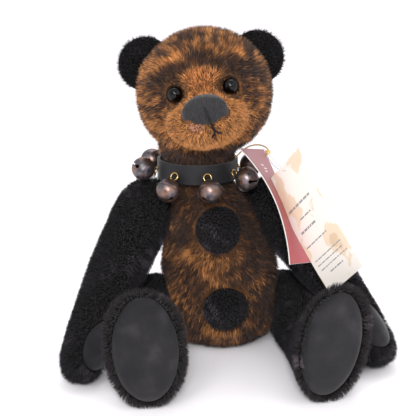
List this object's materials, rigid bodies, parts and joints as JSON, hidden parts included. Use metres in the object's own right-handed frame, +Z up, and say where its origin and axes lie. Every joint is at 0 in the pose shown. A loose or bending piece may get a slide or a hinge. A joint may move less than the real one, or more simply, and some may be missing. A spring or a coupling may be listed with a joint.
{
  "type": "jointed teddy bear",
  "caption": "Sitting disc-jointed teddy bear with turning head and limbs, a leather collar of swinging jingle bells, and hanging tags.",
  "frame": {"origin": "middle of the small flat that the torso sits on", "axes": "+Z up through the torso, the face and feet point along -Y, the bear's own left is +X"},
  "size_m": [0.2199, 0.1729, 0.2183],
  "materials": {
    "mohair": "matte",
    "plush": "matte",
    "suede": "matte",
    "strap_leather": "satin",
    "thread": "matte",
    "eye_glass": "gloss",
    "bell_metal": "satin",
    "ring_brass": "gloss",
    "steel": "satin",
    "board": "matte",
    "filling": "matte",
    "tag_red": "satin",
    "tag_cream": "matte",
    "cord_gold": "satin"
  },
  "bodies": {
    "torso": {"torso_cover": "mohair", "torso_stuffing": "filling", "tummy_patch_upper": "plush", "tummy_patch_lower": "plush", "collar_strap": "strap_leather", "collar_stud": "ring_brass", "bell_rings": "ring_brass", "joint_bolts": "steel", "joint_nuts": "steel", "joint_washers": "steel", "neck_disc_lower": "board", "shoulder_discs_inner": "board", "hip_discs_inner": "board", "tag_cord": "cord_gold"},
    "head": {"head_cover": "mohair", "head_stuffing": "filling", "ear_left": "plush", "ear_right": "plush", "eye_left": "eye_glass", "eye_right": "eye_glass", "nose_stitching": "thread", "mouth_stitching": "thread", "neck_disc_upper": "board"},
    "arm_right": {"arm_cover_right": "plush", "paw_pad_right": "suede", "arm_stuffing_right": "filling", "shoulder_disc_outer_right": "board"},
    "leg_right": {"leg_cover_right": "plush", "foot_pad_right": "suede", "leg_stuffing_right": "filling", "hip_disc_outer_right": "board", "foot_insole_right": "board"},
    "arm_left": {"arm_cover_left": "plush", "paw_pad_left": "suede", "arm_stuffing_left": "filling", "shoulder_disc_outer_left": "board"},
    "leg_left": {"leg_cover_left": "plush", "foot_pad_left": "suede", "leg_stuffing_left": "filling", "hip_disc_outer_left": "board", "foot_insole_left": "board"},
    "bell_1": {"bell_shell_1": "bell_metal", "bell_pellet_1": "steel"},
    "bell_2": {"bell_shell_2": "bell_metal", "bell_pellet_2": "steel"},
    "bell_3": {"bell_shell_3": "bell_metal", "bell_pellet_3": "steel"},
    "bell_4": {"bell_shell_4": "bell_metal", "bell_pellet_4": "steel"},
    "bell_5": {"bell_shell_5": "bell_metal", "bell_pellet_5": "steel"},
    "bell_6": {"bell_shell_6": "bell_metal", "bell_pellet_6": "steel"},
    "bell_7": {"bell_shell_7": "bell_metal", "bell_pellet_7": "steel"},
    "bell_8": {"bell_shell_8": "bell_metal", "bell_pellet_8": "steel"},
    "tag_booklet": {"tag_booklet": "tag_red"},
    "tag_card": {"tag_card": "tag_cream"}
  },
  "joints": [
    {"name": "neck_turn", "type": "hinge", "parent": "torso", "child": "head", "pos_m": [-0.014, -0.003, 0.127], "axis": [-0.0872, 0, 0.9962], "continuous": true},
    {"name": "shoulder_right", "type": "hinge", "parent": "torso", "child": "arm_right", "pos_m": [-0.0366, -0.002, 0.0905], "axis": [-0.9659, 0, 0.2588], "range_deg": [-60, 32]},
    {"name": "shoulder_left", "type": "hinge", "parent": "torso", "child": "arm_left", "pos_m": [0.026, -0.002, 0.0893], "axis": [-0.9272, 0, -0.3746], "range_deg": [-60, 12]},
    {"name": "hip_right", "type": "hinge", "parent": "torso", "child": "leg_right", "pos_m": [-0.0362, -0.002, 0.025], "axis": [-0.9975, 0.0139, -0.0698], "range_deg": [-90, 0]},
    {"name": "hip_left", "type": "hinge", "parent": "torso", "child": "leg_left", "pos_m": [0.0368, -0.002, 0.025], "axis": [-0.9975, -0.0139, 0.0698], "range_deg": [-90, 0]},
    {"name": "bell_1_swing", "type": "hinge", "parent": "torso", "child": "bell_1", "pos_m": [-0.01102, -0.03399, 0.1208], "axis": [-0.989, -0.1478, 0], "range_deg": [0, 40]},
    {"name": "bell_2_swing", "type": "hinge", "parent": "torso", "child": "bell_2", "pos_m": [0.00887, -0.02203, 0.1208], "axis": [-0.5948, -0.8039, 0], "range_deg": [0, 15]},
    {"name": "bell_3_swing", "type": "hinge", "parent": "torso", "child": "bell_3", "pos_m": [0.01449, 0.00048, 0.1208], "axis": [0.1478, -0.989, 0], "range_deg": [0, 20]},
    {"name": "bell_4_swing", "type": "hinge", "parent": "torso", "child": "bell_4", "pos_m": [0.00253, 0.02037, 0.1208], "axis": [0.8039, -0.5948, 0], "range_deg": [0, 40]},
    {"name": "bell_5_swing", "type": "hinge", "parent": "torso", "child": "bell_5", "pos_m": [-0.01998, 0.02599, 0.1208], "axis": [0.989, 0.1478, 0], "range_deg": [0, 40]},
    {"name": "bell_6_swing", "type": "hinge", "parent": "torso", "child": "bell_6", "pos_m": [-0.03987, 0.01404, 0.1208], "axis": [0.5948, 0.8039, 0], "range_deg": [0, 10]},
    {"name": "bell_7_swing", "type": "hinge", "parent": "torso", "child": "bell_7", "pos_m": [-0.04549, -0.00848, 0.1208], "axis": [-0.1478, 0.989, 0], "range_deg": [0, 12]},
    {"name": "bell_8_swing", "type": "hinge", "parent": "torso", "child": "bell_8", "pos_m": [-0.03354, -0.02837, 0.1208], "axis": [-0.8039, 0.5948, 0], "range_deg": [0, 40]},
    {"name": "tags_swing", "type": "hinge", "parent": "torso", "child": "tag_booklet", "pos_m": [0.0275, -0.0199, 0.1336], "axis": [-0.9775, -0.2107, 0], "range_deg": [0, 20]},
    {"name": "card_swing", "type": "hinge", "parent": "tag_booklet", "child": "tag_card", "pos_m": [0.0302, -0.0218, 0.1359], "axis": [-0.9133, -0.4072, 0], "range_deg": [0, 15]}
  ]
}
